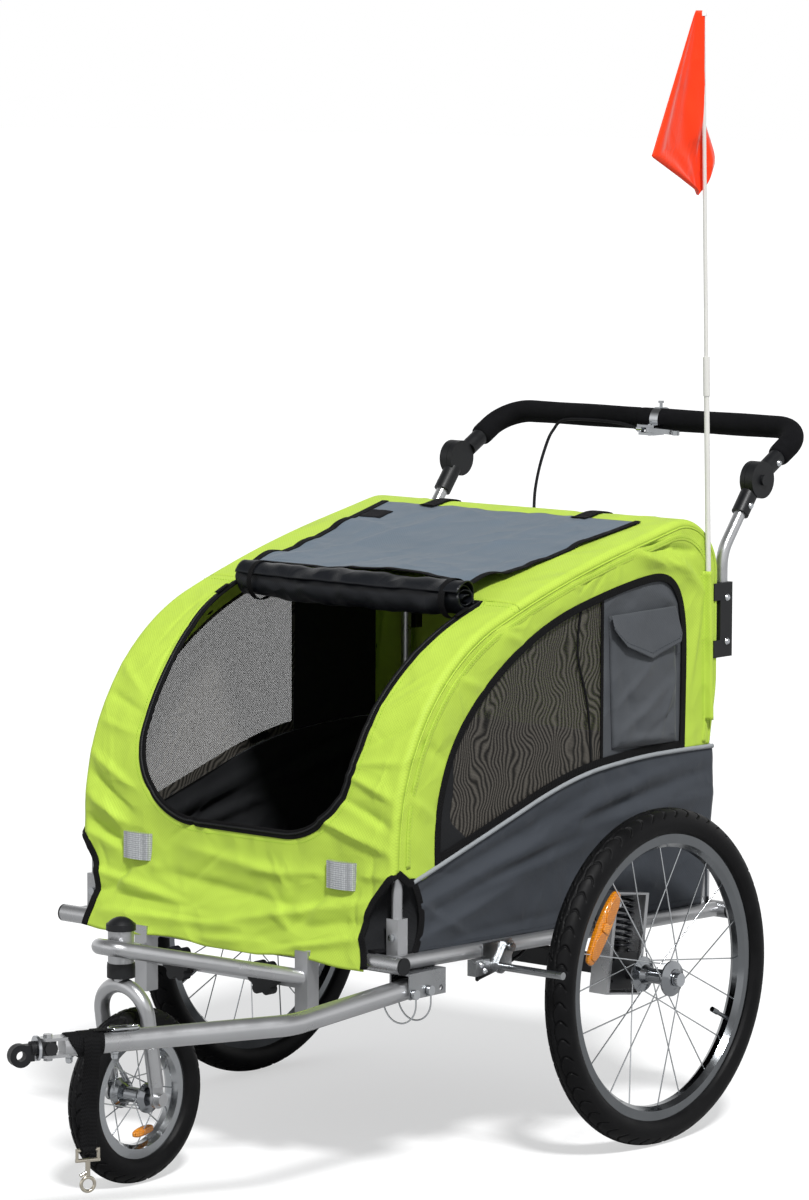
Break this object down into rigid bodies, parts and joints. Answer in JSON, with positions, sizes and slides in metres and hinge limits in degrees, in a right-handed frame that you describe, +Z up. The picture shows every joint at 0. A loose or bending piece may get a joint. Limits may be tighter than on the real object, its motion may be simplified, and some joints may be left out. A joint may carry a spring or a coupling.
{
  "type": "bicycle trailer",
  "caption": "Two-in-one bicycle trailer and push stroller with a covered cabin on a tube chassis, sprung spoked wheels, a caster front wheel, a tilting handle and a tow arm.",
  "frame": {"origin": "on the ground, in the middle of the trailer's box", "axes": "+Z up, the hitch end points to -Y, +X is the trailer's own left"},
  "size_m": [0.88, 1.5833, 1.6461],
  "materials": {
    "tube_steel": "satin silver paint",
    "black_plastic": "satin",
    "black_steel": "satin black paint",
    "bright_steel": "polished",
    "green_cloth": "woven",
    "grey_cloth": "woven",
    "black_cloth": "woven",
    "reflector_clear": "faceted",
    "reflector_amber": "faceted",
    "tyre": "matte",
    "foam": "matte foam",
    "cable": "satin sheath",
    "pole": "smooth",
    "flag_cloth": "woven"
  },
  "bodies": {
    "chassis": {"cross_tubes": "tube_steel", "side_rails": "tube_steel", "tube_caps": "black_plastic", "socket_pins": "bright_steel", "cabin_frame": "tube_steel", "floor_panel": "black_plastic", "front_cover": "green_cloth", "roof_cover": "green_cloth", "side_covers": "green_cloth", "top_flap": "grey_cloth", "rolled_flap": "black_cloth", "front_reflectors": "reflector_clear", "suspension_brackets": "tube_steel", "axle_beam": "black_steel", "left_spring": "black_steel", "right_spring": "black_steel", "tow_channel": "tube_steel", "tow_arm": "tube_steel", "safety_strap": "black_cloth", "strap_link": "bright_steel", "carrier_frame": "tube_steel", "handle_mounts": "black_plastic", "lower_handle_tubes": "tube_steel", "brake_cable": "cable", "brake_bracket": "tube_steel"},
    "left_slider": {"left_slider": "black_plastic"},
    "right_slider": {"right_slider": "black_plastic"},
    "left_wheel": {"left_hub": "bright_steel", "left_spokes": "bright_steel", "left_rim": "bright_steel", "left_tyre": "tyre", "left_wheel_reflector": "reflector_amber"},
    "right_wheel": {"right_hub": "bright_steel", "right_spokes": "bright_steel", "right_rim": "bright_steel", "right_tyre": "tyre", "right_wheel_reflector": "reflector_amber"},
    "fork": {"fork": "tube_steel"},
    "front_wheel": {"front_hub": "bright_steel", "front_spokes": "bright_steel", "front_rim": "bright_steel", "front_tyre": "tyre", "front_wheel_reflector": "reflector_amber"},
    "handle": {"handlebar": "tube_steel", "upper_knuckles": "black_plastic", "handle_grip": "foam", "brake_clamp": "bright_steel"},
    "left_tilt_button": {"left_tilt_button": "black_plastic"},
    "right_tilt_button": {"right_tilt_button": "black_plastic"},
    "brake_lever": {"brake_lever": "bright_steel"},
    "brake_bar": {"brake_bar": "tube_steel"},
    "front_tow_pin": {"front_tow_pin": "bright_steel"},
    "rear_tow_pin": {"rear_tow_pin": "bright_steel"},
    "hitch_swivel": {"hitch_swivel": "black_plastic"},
    "hitch_eye": {"hitch_eye": "black_plastic"},
    "snap_hook": {"snap_hook": "bright_steel"},
    "left_knob": {"left_carrier_knob": "black_plastic"},
    "right_knob": {"right_carrier_knob": "black_plastic"},
    "flag_pole": {"flag_pole": "pole", "flag": "flag_cloth"}
  },
  "joints": [
    {"name": "left_suspension", "type": "slide", "parent": "chassis", "child": "left_slider", "axis": [0, 0.1392, 0.9903], "range_m": [0, 0.022], "stiffness_N_per_m": 6000, "springref_m": -0.03, "deforming": ["left_spring"]},
    {"name": "left_wheel_spin", "type": "hinge", "parent": "left_slider", "child": "left_wheel", "pos_m": [0.396, 0.28198, 0.247], "axis": [1, 0, 0], "continuous": true},
    {"name": "left_tilt_button_press", "type": "slide", "parent": "handle", "child": "left_tilt_button", "axis": [-1, 0, 0], "range_m": [0, 0.004], "stiffness_N_per_m": 800, "springref_m": -0.002},
    {"name": "left_knob_turn", "type": "hinge", "parent": "chassis", "child": "left_knob", "pos_m": [0.0835, -0.22302, 0.278], "axis": [0, 1, 0], "continuous": true},
    {"name": "right_suspension", "type": "slide", "parent": "chassis", "child": "right_slider", "axis": [0, 0.1392, 0.9903], "range_m": [0, 0.022], "stiffness_N_per_m": 6000, "springref_m": -0.03, "deforming": ["right_spring"]},
    {"name": "right_wheel_spin", "type": "hinge", "parent": "right_slider", "child": "right_wheel", "pos_m": [-0.396, 0.28198, 0.247], "axis": [1, 0, 0], "continuous": true},
    {"name": "right_tilt_button_press", "type": "slide", "parent": "handle", "child": "right_tilt_button", "axis": [1, 0, 0], "range_m": [0, 0.004], "stiffness_N_per_m": 800, "springref_m": -0.002},
    {"name": "right_knob_turn", "type": "hinge", "parent": "chassis", "child": "right_knob", "pos_m": [-0.0835, -0.22302, 0.278], "axis": [0, 1, 0], "continuous": true},
    {"name": "caster_swivel", "type": "hinge", "parent": "chassis", "child": "fork", "pos_m": [0, -0.43002, 0.3], "axis": [0, 0, 1], "continuous": true},
    {"name": "front_wheel_spin", "type": "hinge", "parent": "fork", "child": "front_wheel", "pos_m": [0, -0.40302, 0.125], "axis": [1, 0, 0], "continuous": true},
    {"name": "handle_tilt", "type": "hinge", "parent": "chassis", "child": "handle", "pos_m": [0, 0.64798, 0.943], "axis": [1, 0, 0], "range_deg": [-60, 60], "deforming": ["brake_cable"]},
    {"name": "brake_lever_pull", "type": "hinge", "parent": "handle", "child": "brake_lever", "pos_m": [0.022, 0.73657, 0.99892], "axis": [0, 0, 1], "range_deg": [0, 22], "stiffness_Nm_per_rad": 2, "springref_deg": -8.59},
    {"name": "brake_bar_swing", "type": "hinge", "parent": "chassis", "child": "brake_bar", "pos_m": [0, 0.03198, 0.316], "axis": [1, 0, 0], "range_deg": [0, 33]},
    {"name": "front_pin_pull", "type": "slide", "parent": "chassis", "child": "front_tow_pin", "axis": [1, 0, 0], "range_m": [0, 0.06]},
    {"name": "rear_pin_pull", "type": "slide", "parent": "chassis", "child": "rear_tow_pin", "axis": [1, 0, 0], "range_m": [0, 0.06]},
    {"name": "hitch_yaw", "type": "hinge", "parent": "chassis", "child": "hitch_swivel", "pos_m": [0.16124, -0.73878, 0.26623], "axis": [-0.0021, -0.0045, 1], "range_deg": [-50, 50]},
    {"name": "hitch_roll", "type": "hinge", "parent": "hitch_swivel", "child": "hitch_eye", "pos_m": [0.15278, -0.75691, 0.26613], "axis": [-0.423, -0.9061, -0.005], "continuous": true},
    {"name": "hook_swing", "type": "hinge", "parent": "chassis", "child": "snap_hook", "pos_m": [0.18493, -0.68804, 0.122], "axis": [-0.423, -0.9061, 0], "range_deg": [-60, 60]},
    {"name": "flag_pole_lift", "type": "slide", "parent": "chassis", "child": "flag_pole", "axis": [0, -0.0314, 0.9995], "range_m": [0, 0.2]}
  ],
  "couplings": [
    {"joint": "brake_bar_swing", "follows": "brake_lever_pull", "ratio": 1.5}
  ]
}
